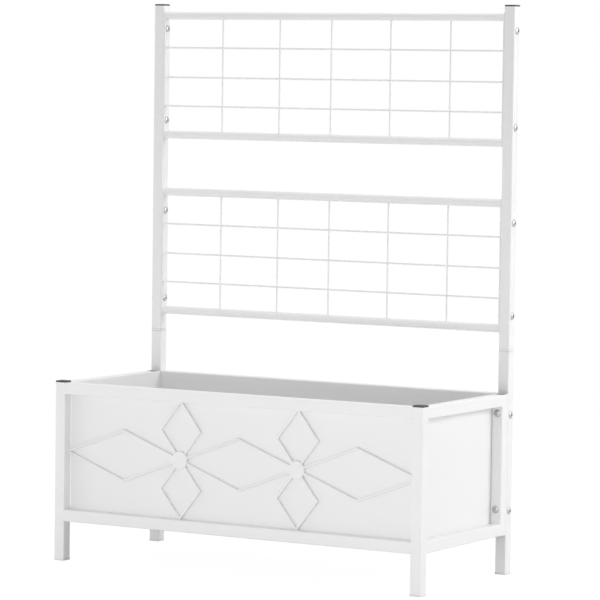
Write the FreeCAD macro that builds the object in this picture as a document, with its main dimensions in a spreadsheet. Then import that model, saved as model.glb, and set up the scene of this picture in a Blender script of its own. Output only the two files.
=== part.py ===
"""Raised planter box with a trellis back, in welded and bolted steel tube.

Millimetres. X runs to the right, Y to the back and Z up. The origin is on the floor, at the
middle of the four legs. Each sub-part's Label is the name of its file.
"""
import FreeCAD, Part
import os
import re
import Sketcher
from FreeCAD import Placement, Rotation, Vector

SIZES = [
    # the whole
    ("overall_width", 900, "over the outer faces of the posts"),
    ("overall_depth", 400, "from the front posts to the back of the trellis posts"),
    ("trellis_height", 1200, "floor to the top of the trellis tubes, under their caps"),
    ("box_height", 385, "floor to the top of the box rails"),
    ("box_floor_gap", 85.5, "floor to the underside of the box rails"),
    # square tube
    ("tube_size", 25, "outside of the square tube"),
    ("tube_wall", 1.2, "wall of the square tube"),
    ("tube_corner", 2.5, "outer corner radius of the square tube"),
    # sheet walls and base
    ("sheet_thickness", 0.8, "walls and base pan"),
    ("sheet_top_drop", 2, "top of the rails to the top edge of the sheets"),
    ("cross_bar_size", 20, "square tube under the base pan"),
    ("cross_bar_spread", 211, "between the middles of neighbouring cross bars"),
    ("pan_clearance", 0.3, "between the base pan and the walls, on each side"),
    ("pan_flange", 20, "height of the base pan's turned-up edge"),
    ("drain_diameter", 12, "drain holes in the base pan"),
    ("drain_column_near", 105, "middle of the pan to the nearer drain holes"),
    ("drain_column_far", 317, "middle of the pan to the farther drain holes"),
    ("drain_row", 85, "middle of the pan to each row of drain holes"),
    # trellis posts
    ("seam_height", 480, "floor to the foot of the upper post section"),
    ("collar_height", 5.5, "joiner's collar between the two post sections"),
    ("joiner_reach", 48, "joiner's spigot inside each post section"),
    ("joiner_wall", 2, "wall of the joiner"),
    ("fit_clearance", 0.3, "between a plug or spigot and the tube around it, on each side"),
    # trellis panels
    ("panel_top_drop", 13, "top of the posts to the top of the upper panel"),
    ("panel_gap", 109.8, "between the two panels"),
    ("panel_height", 282, "height of each panel"),
    ("panel_rail_diameter", 17.5, "round tube of the panel's rails"),
    ("panel_rail_wall", 1.2, "wall of the round tube"),
    ("strip_thickness", 2.5, "flat bar at the panel's sides"),
    ("strip_width", 20, "flat bar at the panel's sides"),
    ("wire_diameter", 4, "panel wires"),
    ("first_wire", 149, "left post to the panel's first upright wire"),
    ("second_wire", 295.7, "left post to the second"),
    ("third_wire", 425.8, "left post to the third"),
    ("fourth_wire", 572.8, "left post to the fourth"),
    ("fifth_wire", 718.3, "left post to the fifth"),
    ("top_wire_drop", 80, "panel top to its highest level wire"),
    ("middle_wire_drop", 145.6, "panel top to the middle level wire"),
    ("low_wire_drop", 209.3, "panel top to the lowest level wire"),
    # front ornament
    ("bar_width", 5, "ornament bar, across"),
    ("bar_depth", 6, "ornament bar, standing out of the wall"),
    ("bar_rounding", 1.5, "rounding of the bar's front edges"),
    ("ornament_overrun", 5.5, "outer rhombi's side corners past the posts' inner faces, cut off there"),
    ("wide_half_height", 54, "wide rhombus, middle to top corner"),
    ("small_half_width", 49, "small rhombus, middle to side corner"),
    ("disc_diameter", 38, "disc over the crossing"),
    ("disc_thickness", 7.5, "disc over the crossing"),
    ("disc_bevel", 0.8, "bevel round the disc's front"),
    # caps and feet
    ("cap_thickness", 3.5, "cap plate on the posts"),
    ("cap_bevel", 0.6, "bevel round a cap plate's top"),
    ("cap_insert", 12, "cap's plug inside the tube"),
    ("inset_plug_drop", 0.8, "top of the rear uprights to the plugs inside them"),
    ("inset_plug_length", 12, "plug inside a rear upright"),
    ("foot_rim", 4, "foot plug's rim under the tube"),
    ("foot_overhang", 0.6, "rim standing out past the tube"),
    ("foot_bevel", 0.8, "bevel round the foot's tread"),
    ("foot_insert", 16, "foot plug's part inside the tube"),
    # fasteners
    ("bolt_diameter", 5, "shanks"),
    ("head_diameter", 16, "domed head of bolts and sleeve nuts"),
    ("head_height", 4, "domed head of bolts and sleeve nuts"),
    ("socket_across_flats", 5, "hexagon socket in each head"),
    ("socket_depth", 2.2, "hexagon socket in each head"),
    ("sleeve_diameter", 8, "nut's sleeve, and the neck under a bolt's head"),
    ("sleeve_clearance", 0.5, "hole wider than the sleeve and the neck"),
    ("sleeve_length", 9, "nut's sleeve"),
    ("sleeve_end", 1, "end of the nut's bore to the underside of its head"),
    ("nut_clearance", 0.2, "nut's plain bore wider than the shank"),
    ("neck_length", 4, "neck under a bolt's head"),
    ("bolt_tip_gap", 1, "bolt's tip to the end of the nut's bore"),
    ("bolt_line_inset", 14, "back of the post to the panel bolts"),
    ("upper_panel_high_bolt", 38, "upper panel's top to its higher bolts"),
    ("upper_panel_low_bolt", 241, "upper panel's top to its lower bolts"),
    ("lower_panel_high_bolt", 50.2, "lower panel's top to its higher bolts"),
    ("lower_panel_low_bolt", 246.2, "lower panel's top to its lower bolts"),
    ("side_bolt_drop", 45.2, "top of the box rails to the higher side bolts"),
    ("side_bolt_rise", 50.5, "underside of the box rails to the lower side bolts"),
    ("bolt_crossing_gap", 0.4, "between the shanks that cross inside a trellis post"),
]
NAMES = r"\b(" + "|".join(name for name, _, _ in SIZES) + r")\b"

doc = FreeCAD.newDocument("PlanterWithTrellis")
sheet = doc.addObject("Spreadsheet::Sheet", "Sizes")
for row, (name, value, note) in enumerate(SIZES, start=1):
    sheet.set(f"A{row}", name)
    sheet.set(f"B{row}", str(value))
    sheet.set(f"C{row}", note)
    sheet.setAlias(f"B{row}", name)
doc.recompute()

parts = []

# Planes and lines that several sub-parts share.
POST_IN = "(overall_width / 2 - tube_size)"
FRONT = "(-overall_depth / 2)"
FRONT_IN = "(-overall_depth / 2 + tube_size)"
BACK_IN = "(overall_depth / 2 - tube_size)"
UPRIGHT_FRONT = "(overall_depth / 2 - 2 * tube_size)"
BOLT_LINE = "(overall_depth / 2 - bolt_line_inset)"
HALF_TUBE = "(tube_size / 2)"
POST_MIDDLE = "(overall_width / 2 - tube_size / 2)"
STRIP_IN = "(overall_width / 2 - tube_size - strip_thickness)"
TUBE_BORE = "(tube_size - 2 * tube_wall)"
INSERT = f"({TUBE_BORE} - 2 * fit_clearance)"
OPENING_MIDDLE = "((box_floor_gap + box_height) / 2)"
OPENING_HEIGHT = "(box_height - box_floor_gap - 2 * tube_size)"
UPPER_PANEL_TOP = "(trellis_height - panel_top_drop)"
LOWER_PANEL_TOP = f"({UPPER_PANEL_TOP} - panel_height - panel_gap)"

# Bolt holes and the bolts' heights. The upright bolts cross just over the side bolts, inside
# the trellis posts.
BOLT_ACROSS = "(tube_size - bolt_line_inset)"
BOLT_HOLE = "(sleeve_diameter + sleeve_clearance)"
UPPER_BOLTS = (
    f"({UPPER_PANEL_TOP} - upper_panel_high_bolt)",
    f"({UPPER_PANEL_TOP} - upper_panel_low_bolt)",
)
LOWER_BOLTS = (
    f"({LOWER_PANEL_TOP} - lower_panel_high_bolt)",
    f"({LOWER_PANEL_TOP} - lower_panel_low_bolt)",
)
SIDE_BOLTS = ("(box_height - side_bolt_drop)", "(box_floor_gap + side_bolt_rise)")
UPRIGHT_BOLTS = tuple(f"({bolt} + bolt_diameter + bolt_crossing_gap)" for bolt in SIDE_BOLTS)

TOLERANCE = 0.01


def formula(text):
    """Put the sheet's name before each size's name."""
    return re.sub(NAMES, r"Sizes.\g<0>", text)


def value_of(text):
    """Work a formula out, for a sketch's starting points."""
    return float(sheet.evalExpression(formula(text)))


def bind(item, path, text):
    item.setExpression(path, formula(text))


def place(item, x, y, z, turn=Rotation()):
    item.Placement = Placement(Vector(), turn)
    bind(item, "Placement.Base.x", x)
    bind(item, "Placement.Base.y", y)
    bind(item, "Placement.Base.z", z)


# Turns about the cube's diagonal: a body's own Z goes along X or Y and its corner stays lowest.
ALONG_Z = Rotation()
ALONG_X = Rotation(Vector(1, 1, 1), 120)
ALONG_Y = Rotation(Vector(1, 1, 1), 240)
# A body's own Z goes to the left, the right, the front (with its own Y up), the back, or down.
TO_LEFT = Rotation(Vector(0, 1, 0), -90)
TO_RIGHT = Rotation(Vector(0, 1, 0), 90)
TO_FRONT = Rotation(Vector(1, 0, 0), 90)
TO_BACK = Rotation(Vector(1, 0, 0), -90)
DOWN = Rotation(Vector(1, 0, 0), 180)


def new_body(label, listed=True):
    body = doc.addObject("PartDesign::Body", label)
    body.Label = label
    if listed:
        parts.append(body)
    return body


def new_sketch(body, name, plane="XY_Plane"):
    sketch = body.newObject("Sketcher::SketchObject", name)
    for item in body.Origin.OriginFeatures:
        if item.Role == plane:
            sketch.AttachmentSupport = [(item, "")]
    sketch.MapMode = "FlatFace"
    return sketch


def fix_point(sketch, line, end, x, y):
    """Hold one point of the sketch at x, y from its origin."""
    for kind, text in (("DistanceX", x), ("DistanceY", y)):
        index = sketch.addConstraint(Sketcher.Constraint(kind, -1, 1, line, end, value_of(text)))
        bind(sketch, f"Constraints[{index}]", text)


def add_polygon(sketch, points):
    """Closed outline through points, each a pair of formulas."""
    spots = [Vector(value_of(x), value_of(y), 0) for x, y in points]
    count = len(spots)
    lines = []
    for i in range(count):
        lines.append(sketch.addGeometry(Part.LineSegment(spots[i], spots[(i + 1) % count])))
    for i in range(count):
        sketch.addConstraint(Sketcher.Constraint("Coincident", lines[i], 2, lines[(i + 1) % count], 1))
    for line, (x, y) in zip(lines, points):
        fix_point(sketch, line, 1, x, y)


def add_rectangle(sketch, x, y, width, height):
    add_polygon(sketch, [
        (x, y),
        (f"{x} + {width}", y),
        (f"{x} + {width}", f"{y} + {height}"),
        (x, f"{y} + {height}"),
    ])


def add_circle(sketch, x, y, diameter):
    centre = Vector(value_of(x), value_of(y), 0)
    circle = sketch.addGeometry(Part.Circle(centre, Vector(0, 0, 1), value_of(diameter) / 2))
    fix_point(sketch, circle, 3, x, y)
    index = sketch.addConstraint(Sketcher.Constraint("Diameter", circle, value_of(diameter)))
    bind(sketch, f"Constraints[{index}]", diameter)


def add_pad(body, sketch, length, downward=False):
    pad = body.newObject("PartDesign::Pad", "Pad")
    pad.Profile = sketch
    bind(pad, "Length", length)
    pad.Reversed = downward
    doc.recompute()
    return pad


def cut_through(body, sketch):
    """Pocket the sketch through everything on both sides of its plane."""
    before = body.Shape.Volume
    pocket = body.newObject("PartDesign::Pocket", "Pocket")
    pocket.Profile = sketch
    pocket.Type = "ThroughAll"
    pocket.Midplane = True
    doc.recompute()
    if body.Shape.Volume >= before:
        raise RuntimeError(f"{body.Label}: the pocket cuts nothing")
    return pocket


def round_edges(body, feature, edges, radius):
    fillet = body.newObject("PartDesign::Fillet", "Fillet")
    fillet.Base = (feature, edges)
    bind(fillet, "Radius", radius)
    doc.recompute()
    return fillet


def bevel_edges(body, feature, edges, width):
    chamfer = body.newObject("PartDesign::Chamfer", "Chamfer")
    chamfer.Base = (feature, edges)
    bind(chamfer, "Size", width)
    doc.recompute()
    return chamfer


def corner_edges(shape):
    """Names of the edges that run along Z at the outline's four corners."""
    box = shape.BoundBox
    names = []
    for number, edge in enumerate(shape.Edges, start=1):
        middle = edge.CenterOfMass
        at_x = min(abs(middle.x - box.XMin), abs(middle.x - box.XMax)) < TOLERANCE
        at_y = min(abs(middle.y - box.YMin), abs(middle.y - box.YMax)) < TOLERANCE
        if at_x and at_y:
            names.append(f"Edge{number}")
    return names


def top_edges(shape):
    """Names of the edges that lie flat at the shape's highest level."""
    top = shape.BoundBox.ZMax
    names = []
    for number, edge in enumerate(shape.Edges, start=1):
        if abs(edge.BoundBox.ZMin - top) < TOLERANCE:
            names.append(f"Edge{number}")
    return names


def square_tube(label, size, length, listed=True):
    """Hollow square tube with rounded outer corners, its corner at the body's origin."""
    body = new_body(label, listed)
    sketch = new_sketch(body, "Section")
    add_rectangle(sketch, "0", "0", size, size)
    bore = f"{size} - 2 * tube_wall"
    add_rectangle(sketch, "tube_wall", "tube_wall", bore, bore)
    pad = add_pad(body, sketch, length)
    round_edges(body, pad, corner_edges(pad.Shape), "tube_corner")
    return body


def bore_across(body, plane, holes, diameter=BOLT_HOLE):
    """Bore through the body, square to one of its planes, at each pair of formulas."""
    sketch = new_sketch(body, "Holes", plane)
    for across, along in holes:
        add_circle(sketch, across, along, diameter)
    cut_through(body, sketch)


def slab(label, x, y, z, length, width, height):
    box = doc.addObject("Part::Box", label)
    box.Label = label
    bind(box, "Length", length)
    bind(box, "Width", width)
    bind(box, "Height", height)
    place(box, x, y, z)
    parts.append(box)
    return box


def group(label, model, spots):
    """One sub-part of like pieces: the model at each spot, a turn and three formulas."""
    copies = []
    for number, (turn, x, y, z) in enumerate(spots, start=1):
        copy = doc.addObject("App::Link", f"{label}_{number}")
        copy.LinkedObject = model
        place(copy, x, y, z, turn)
        copies.append(copy)
    whole = doc.addObject("Part::Compound", label)
    whole.Label = label
    whole.Links = copies
    parts.append(whole)
    return whole


# ---------------------------------------------------------------- box frame

SIDES = (("left", "-overall_width / 2"), ("right", POST_IN))
RAIL_HEIGHTS = (("top", "box_height - tube_size"), ("bottom", "box_floor_gap"))
BETWEEN_POSTS = "(overall_width - 2 * tube_size)"

for side, corner in SIDES:
    post = square_tube(f"front_{side}_post", "tube_size", "box_height - foot_rim")
    place(post, corner, FRONT, "foot_rim")

    upright = square_tube(f"{side}_rear_upright", "tube_size", "box_height - box_floor_gap")
    bore_across(upright, "XZ_Plane", [
        (HALF_TUBE, f"{bolt} - box_floor_gap") for bolt in UPRIGHT_BOLTS
    ])
    place(upright, corner, UPRIGHT_FRONT, "box_floor_gap")

    for level, height in RAIL_HEIGHTS:
        rail = square_tube(f"{side}_side_{level}_rail", "tube_size", "overall_depth - 3 * tube_size")
        place(rail, corner, FRONT_IN, height, ALONG_Y)

for level, height in RAIL_HEIGHTS:
    rail = square_tube(f"front_{level}_rail", "tube_size", BETWEEN_POSTS)
    place(rail, f"-{POST_IN}", FRONT, height, ALONG_X)

    rail = square_tube(f"back_{level}_rail", "tube_size", f"{BETWEEN_POSTS} - 2 * strip_thickness")
    place(rail, f"-{STRIP_IN}", BACK_IN, height, ALONG_X)

# ---------------------------------------------------------------- sheet walls and base

SHEET_HEIGHT = "box_height - box_floor_gap - sheet_top_drop"
INSIDE_WIDTH = f"({BETWEEN_POSTS} - 2 * sheet_thickness)"
INSIDE_DEPTH = "(overall_depth - 2 * tube_size - 2 * sheet_thickness)"
WALL_IN_X = f"({POST_IN} - sheet_thickness)"
WALL_IN_Y = f"({BACK_IN} - sheet_thickness)"

slab("left_side_panel", f"-{POST_IN}", FRONT_IN, "box_floor_gap",
     "sheet_thickness", "overall_depth - 2 * tube_size", SHEET_HEIGHT)
slab("right_side_panel", WALL_IN_X, FRONT_IN, "box_floor_gap",
     "sheet_thickness", "overall_depth - 2 * tube_size", SHEET_HEIGHT)
slab("front_panel", f"-{WALL_IN_X}", FRONT_IN, "box_floor_gap",
     INSIDE_WIDTH, "sheet_thickness", SHEET_HEIGHT)
slab("back_panel", f"-{WALL_IN_X}", WALL_IN_Y, "box_floor_gap",
     INSIDE_WIDTH, "sheet_thickness", SHEET_HEIGHT)

bar = square_tube("cross_bar_model", "cross_bar_size", INSIDE_DEPTH, listed=False)
group("base_cross_bars", bar, [
    (ALONG_Y, f"{middle} - cross_bar_size / 2", f"-{WALL_IN_Y}", "box_floor_gap")
    for middle in ("-cross_bar_spread", "0", "cross_bar_spread")
])

pan = new_body("base_pan")
PAN_WIDTH = f"({INSIDE_WIDTH} - 2 * pan_clearance)"
PAN_DEPTH = f"({INSIDE_DEPTH} - 2 * pan_clearance)"
floor_outline = new_sketch(pan, "Floor")
add_rectangle(floor_outline, f"-{PAN_WIDTH} / 2", f"-{PAN_DEPTH} / 2", PAN_WIDTH, PAN_DEPTH)
add_pad(pan, floor_outline, "sheet_thickness")
flange_outline = new_sketch(pan, "Flange")
add_rectangle(flange_outline, f"-{PAN_WIDTH} / 2", f"-{PAN_DEPTH} / 2", PAN_WIDTH, PAN_DEPTH)
add_rectangle(
    flange_outline,
    f"-{PAN_WIDTH} / 2 + sheet_thickness",
    f"-{PAN_DEPTH} / 2 + sheet_thickness",
    f"{PAN_WIDTH} - 2 * sheet_thickness",
    f"{PAN_DEPTH} - 2 * sheet_thickness",
)
add_pad(pan, flange_outline, "pan_flange")
bore_across(pan, "XY_Plane", [
    (column, drain_y)
    for column in ("-drain_column_far", "-drain_column_near", "drain_column_near", "drain_column_far")
    for drain_y in ("-drain_row", "drain_row")
], "drain_diameter")
place(pan, "0", "0", "box_floor_gap + cross_bar_size")

# ---------------------------------------------------------------- front ornament


def rhombus(label, half_width, half_height, listed=True):
    """Rhombus of one bar round the body's origin, flat on its wall, with its front edges rounded."""
    body = new_body(label, listed)
    slope = f"sqrt(({half_width}) ^ 2 + ({half_height}) ^ 2)"
    extra_x = f"(bar_width / 2 * {slope} / ({half_height}))"
    extra_y = f"(bar_width / 2 * {slope} / ({half_width}))"
    sketch = new_sketch(body, "Outline")
    for sign in ("+", "-"):
        reach_x = f"({half_width} {sign} {extra_x})"
        reach_y = f"({half_height} {sign} {extra_y})"
        add_polygon(sketch, [
            (reach_x, "0"),
            ("0", reach_y),
            (f"-{reach_x}", "0"),
            ("0", f"-{reach_y}"),
        ])
    pad = add_pad(body, sketch, "bar_depth")
    round_edges(body, pad, top_edges(pad.Shape), "bar_rounding")
    return body


def trim(body, circles, boxes):
    """Cut the bar back to the discs' rims and to the faces of the tubes round the wall."""
    for x, y in circles:
        sketch = new_sketch(body, "DiscSeat")
        add_circle(sketch, x, y, "disc_diameter")
        cut_through(body, sketch)
    for x, y, width, height in boxes:
        sketch = new_sketch(body, "TubeFace")
        add_rectangle(sketch, x, y, width, height)
        cut_through(body, sketch)


WIDE_HALF_WIDTH = f"(({POST_IN} + ornament_overrun) / 3)"
WIDE_PITCH = f"(2 * {WIDE_HALF_WIDTH})"
SMALL_HALF_HEIGHT = f"({OPENING_HEIGHT} / 4)"
wide_left_disc = (f"-{WIDE_HALF_WIDTH}", "0")
wide_right_disc = (WIDE_HALF_WIDTH, "0")
TO_POST = f"({POST_IN} - {WIDE_PITCH})"

left_wide = rhombus("left_wide_rhombus", WIDE_HALF_WIDTH, "wide_half_height")
left_post_face = (f"-{TO_POST} - tube_size", "-tube_size", "tube_size", "2 * tube_size")
trim(left_wide, [wide_right_disc], [left_post_face])
place(left_wide, f"-{WIDE_PITCH}", FRONT_IN, OPENING_MIDDLE, TO_FRONT)

centre_wide = rhombus("centre_wide_rhombus", WIDE_HALF_WIDTH, "wide_half_height")
trim(centre_wide, [wide_left_disc, wide_right_disc], [])
place(centre_wide, "0", FRONT_IN, OPENING_MIDDLE, TO_FRONT)

right_wide = rhombus("right_wide_rhombus", WIDE_HALF_WIDTH, "wide_half_height")
right_post_face = (TO_POST, "-tube_size", "tube_size", "2 * tube_size")
trim(right_wide, [wide_left_disc], [right_post_face])
place(right_wide, WIDE_PITCH, FRONT_IN, OPENING_MIDDLE, TO_FRONT)

for side, disc_x in (("left", f"-{WIDE_HALF_WIDTH}"), ("right", WIDE_HALF_WIDTH)):
    for level, sign in (("upper", "+"), ("lower", "-")):
        small = rhombus(f"{level}_{side}_small_rhombus", "small_half_width", SMALL_HALF_HEIGHT)
        if level == "upper":
            seat = ("0", f"-{SMALL_HALF_HEIGHT}")
            face = ("-tube_size", SMALL_HALF_HEIGHT, "2 * tube_size", "tube_size")
        else:
            seat = ("0", SMALL_HALF_HEIGHT)
            face = ("-tube_size", f"-{SMALL_HALF_HEIGHT} - tube_size", "2 * tube_size", "tube_size")
        trim(small, [seat], [face])
        place(small, disc_x, FRONT_IN, f"{OPENING_MIDDLE} {sign} {SMALL_HALF_HEIGHT}", TO_FRONT)

disc = new_body("disc_model", listed=False)
disc_outline = new_sketch(disc, "Outline")
add_circle(disc_outline, "0", "0", "disc_diameter")
disc_pad = add_pad(disc, disc_outline, "disc_thickness")
bevel_edges(disc, disc_pad, top_edges(disc_pad.Shape), "disc_bevel")
group("ornament_discs", disc, [
    (TO_FRONT, f"-{WIDE_HALF_WIDTH}", FRONT_IN, OPENING_MIDDLE),
    (TO_FRONT, WIDE_HALF_WIDTH, FRONT_IN, OPENING_MIDDLE),
])

# ---------------------------------------------------------------- trellis posts

for side, corner in SIDES:
    lower_length = "seam_height - collar_height - foot_rim"
    lower = square_tube(f"{side}_trellis_post_lower", "tube_size", lower_length)
    bore_across(lower, "YZ_Plane", [(BOLT_ACROSS, f"{bolt} - foot_rim") for bolt in SIDE_BOLTS])
    bore_across(lower, "XZ_Plane", [(HALF_TUBE, f"{bolt} - foot_rim") for bolt in UPRIGHT_BOLTS])
    place(lower, corner, BACK_IN, "foot_rim")

    upper = square_tube(f"{side}_trellis_post_upper", "tube_size", "trellis_height - seam_height")
    bore_across(upper, "YZ_Plane", [
        (BOLT_ACROSS, f"{bolt} - seam_height") for bolt in UPPER_BOLTS + LOWER_BOLTS
    ])
    place(upper, corner, BACK_IN, "seam_height")

joiner = new_body("joiner_model", listed=False)
collar_outline = new_sketch(joiner, "Collar")
add_rectangle(collar_outline, f"-{HALF_TUBE}", f"-{HALF_TUBE}", "tube_size", "tube_size")
collar = add_pad(joiner, collar_outline, "collar_height")
round_edges(joiner, collar, corner_edges(collar.Shape), "tube_corner")
for downward, length in ((False, "collar_height + joiner_reach"), (True, "joiner_reach")):
    spigot_outline = new_sketch(joiner, "Spigot")
    add_rectangle(spigot_outline, f"-{INSERT} / 2", f"-{INSERT} / 2", INSERT, INSERT)
    add_pad(joiner, spigot_outline, length, downward)
hollow = new_sketch(joiner, "Hollow")
JOINER_BORE = f"({INSERT} - 2 * joiner_wall)"
add_rectangle(hollow, f"-{JOINER_BORE} / 2", f"-{JOINER_BORE} / 2", JOINER_BORE, JOINER_BORE)
cut_through(joiner, hollow)
group("post_joiners", joiner, [
    (ALONG_Z, f"{sign}{POST_MIDDLE}", f"{BACK_IN} + {HALF_TUBE}", "seam_height - collar_height")
    for sign in ("-", "")
])

# ---------------------------------------------------------------- flat bars at the panels' sides


def strip_pair(label, bottom, height, bolts):
    """Two flat bars on the posts' inner faces, bored for the bolts."""
    model = new_body(f"{label}_model", listed=False)
    sketch = new_sketch(model, "Section")
    add_rectangle(sketch, "0", "0", "strip_thickness", "strip_width")
    add_pad(model, sketch, height)
    bore_across(model, "YZ_Plane", [("strip_width / 2", f"{bolt} - ({bottom})") for bolt in bolts])
    near_y = f"{BOLT_LINE} - strip_width / 2"
    group(label, model, [
        (ALONG_Z, f"-{POST_IN}", near_y, bottom),
        (ALONG_Z, STRIP_IN, near_y, bottom),
    ])


strip_pair("back_side_strips", "box_floor_gap", "box_height - box_floor_gap", SIDE_BOLTS)

# ---------------------------------------------------------------- trellis panels

UPRIGHT_WIRES = ("first_wire", "second_wire", "third_wire", "fourth_wire", "fifth_wire")
LEVEL_WIRES = ("top_wire_drop", "middle_wire_drop", "low_wire_drop")
RAIL_LENGTH = f"({BETWEEN_POSTS} - 2 * strip_thickness)"


def trellis_panel(name, top, bolts):
    """Two round rails between flat bars, upright wires between them and level wires in front."""
    bottom = f"({top} - panel_height)"
    for level, middle in (("top", f"{top} - panel_rail_diameter / 2"),
                          ("bottom", f"{bottom} + panel_rail_diameter / 2")):
        rail = new_body(f"{name}_trellis_{level}_rail")
        sketch = new_sketch(rail, "Section")
        add_circle(sketch, "0", "0", "panel_rail_diameter")
        add_circle(sketch, "0", "0", "panel_rail_diameter - 2 * panel_rail_wall")
        add_pad(rail, sketch, RAIL_LENGTH)
        place(rail, f"-{STRIP_IN}", BOLT_LINE, middle, ALONG_X)

    strip_pair(f"{name}_trellis_side_strips", bottom, "panel_height", bolts)

    uprights = new_body(f"{name}_trellis_upright_wires")
    sketch = new_sketch(uprights, "Wires")
    for offset in UPRIGHT_WIRES:
        add_circle(sketch, offset, "0", "wire_diameter")
    add_pad(uprights, sketch, "panel_height - 2 * panel_rail_diameter")
    place(uprights, f"-{POST_IN}", BOLT_LINE, f"{bottom} + panel_rail_diameter")

    levels = new_body(f"{name}_trellis_level_wires")
    sketch = new_sketch(levels, "Wires")
    for drop in LEVEL_WIRES:
        add_circle(sketch, "0", f"panel_height - {drop}", "wire_diameter")
    add_pad(levels, sketch, RAIL_LENGTH)
    place(levels, f"-{STRIP_IN}", f"{BOLT_LINE} - wire_diameter", bottom, ALONG_X)


trellis_panel("upper", UPPER_PANEL_TOP, UPPER_BOLTS)
trellis_panel("lower", LOWER_PANEL_TOP, LOWER_BOLTS)

# ---------------------------------------------------------------- caps and feet


def plug(label, plate, thickness, bevel, depth):
    """Square plate on a tube's end, with a plug that goes down inside the tube."""
    body = new_body(label, listed=False)
    sketch = new_sketch(body, "Plate")
    add_rectangle(sketch, f"-({plate}) / 2", f"-({plate}) / 2", f"({plate})", f"({plate})")
    pad = add_pad(body, sketch, thickness)
    rounded = round_edges(body, pad, corner_edges(pad.Shape), "tube_corner")
    bevel_edges(body, rounded, top_edges(rounded.Shape), bevel)
    sketch = new_sketch(body, "Insert")
    add_rectangle(sketch, f"-{INSERT} / 2", f"-{INSERT} / 2", INSERT, INSERT)
    add_pad(body, sketch, depth, downward=True)
    return body


FRONT_MIDDLE = f"({FRONT} + {HALF_TUBE})"
TRELLIS_MIDDLE = f"({BACK_IN} + {HALF_TUBE})"
UPRIGHT_MIDDLE = f"({UPRIGHT_FRONT} + {HALF_TUBE})"

cap = plug("cap_model", "tube_size", "cap_thickness", "cap_bevel", "cap_insert")
foot = plug("foot_model", "tube_size + 2 * foot_overhang", "foot_rim", "foot_bevel", "foot_insert")
inset_plug = new_body("inset_plug_model", listed=False)
inset_outline = new_sketch(inset_plug, "Outline")
add_rectangle(inset_outline, f"-{TUBE_BORE} / 2", f"-{TUBE_BORE} / 2", TUBE_BORE, TUBE_BORE)
add_pad(inset_plug, inset_outline, "inset_plug_length", downward=True)

group("front_post_caps", cap, [
    (ALONG_Z, f"{sign}{POST_MIDDLE}", FRONT_MIDDLE, "box_height") for sign in ("-", "")
])
group("trellis_post_caps", cap, [
    (ALONG_Z, f"{sign}{POST_MIDDLE}", TRELLIS_MIDDLE, "trellis_height") for sign in ("-", "")
])
group("rear_upright_plugs", inset_plug, [
    (ALONG_Z, f"{sign}{POST_MIDDLE}", UPRIGHT_MIDDLE, "box_height - inset_plug_drop")
    for sign in ("-", "")
])
group("foot_plugs", foot, [
    (DOWN, f"{sign}{POST_MIDDLE}", leg_y, "foot_rim")
    for leg_y in (FRONT_MIDDLE, TRELLIS_MIDDLE) for sign in ("-", "")
])

# ---------------------------------------------------------------- bolts and sleeve nuts


def combine(kind, label, base, tool):
    result = doc.addObject(kind, label)
    result.Base = base
    result.Tool = tool
    return result


def rod(label, diameter, length):
    """Round rod from the body's origin down."""
    item = doc.addObject("Part::Cylinder", label)
    bind(item, "Radius", f"({diameter}) / 2")
    bind(item, "Height", length)
    place(item, "0", "0", f"-({length})")
    return item


def domed_head(label):
    """Domed head above the body's origin, with a hexagon socket in its top."""
    radius = "((head_diameter ^ 2 / 4 + head_height ^ 2) / (2 * head_height))"
    dome = doc.addObject("Part::Sphere", f"{label}_dome")
    bind(dome, "Radius", radius)
    bind(dome, "Angle1", f"asin(({radius} - head_height) / {radius})")
    place(dome, "0", "0", f"head_height - {radius}")
    socket = doc.addObject("Part::Prism", f"{label}_socket")
    socket.Polygon = 6
    bind(socket, "Circumradius", "socket_across_flats / 2 / cos(30)")
    bind(socket, "Height", "head_height")
    place(socket, "0", "0", "head_height - socket_depth")
    return combine("Part::Cut", f"{label}_head", dome, socket)


def make_bolt(label, grip):
    """Domed head above the body's origin, with a neck and a shank below it."""
    neck = rod(f"{label}_neck", "sleeve_diameter", "neck_length")
    necked = combine("Part::Fuse", f"{label}_top", domed_head(label), neck)
    shank = rod(f"{label}_shank", "bolt_diameter", f"{grip} - sleeve_end - bolt_tip_gap")
    return combine("Part::Fuse", label, necked, shank)


def make_sleeve_nut():
    """Domed head above the body's origin, with a sleeve below it that is bored from its end."""
    sleeve = rod("nut_sleeve", "sleeve_diameter", "sleeve_length")
    solid = combine("Part::Fuse", "nut_solid", domed_head("nut"), sleeve)
    bore = rod("nut_bore", "bolt_diameter + nut_clearance", "sleeve_length - sleeve_end")
    place(bore, "0", "0", "-sleeve_length")
    return combine("Part::Cut", "nut_model", solid, bore)


panel_bolt = make_bolt("panel_bolt_model", "tube_size + strip_thickness")
upright_bolt = make_bolt("upright_bolt_model", "2 * tube_size")
sleeve_nut = make_sleeve_nut()

for name, heights in (("panel", UPPER_BOLTS + LOWER_BOLTS), ("side", SIDE_BOLTS)):
    bolts = []
    nuts = []
    for height in heights:
        bolts.append((TO_LEFT, "-overall_width / 2", BOLT_LINE, height))
        bolts.append((TO_RIGHT, "overall_width / 2", BOLT_LINE, height))
        nuts.append((TO_RIGHT, f"-{STRIP_IN}", BOLT_LINE, height))
        nuts.append((TO_LEFT, STRIP_IN, BOLT_LINE, height))
    group(f"{name}_bolts", panel_bolt, bolts)
    group(f"{name}_nuts", sleeve_nut, nuts)

bolts = []
nuts = []
for height in UPRIGHT_BOLTS:
    for sign in ("-", ""):
        bolts.append((TO_BACK, f"{sign}{POST_MIDDLE}", "overall_depth / 2", height))
        nuts.append((TO_FRONT, f"{sign}{POST_MIDDLE}", UPRIGHT_FRONT, height))
group("upright_bolts", upright_bolt, bolts)
group("upright_nuts", sleeve_nut, nuts)

# ---------------------------------------------------------------- checks and files

doc.recompute()

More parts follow.
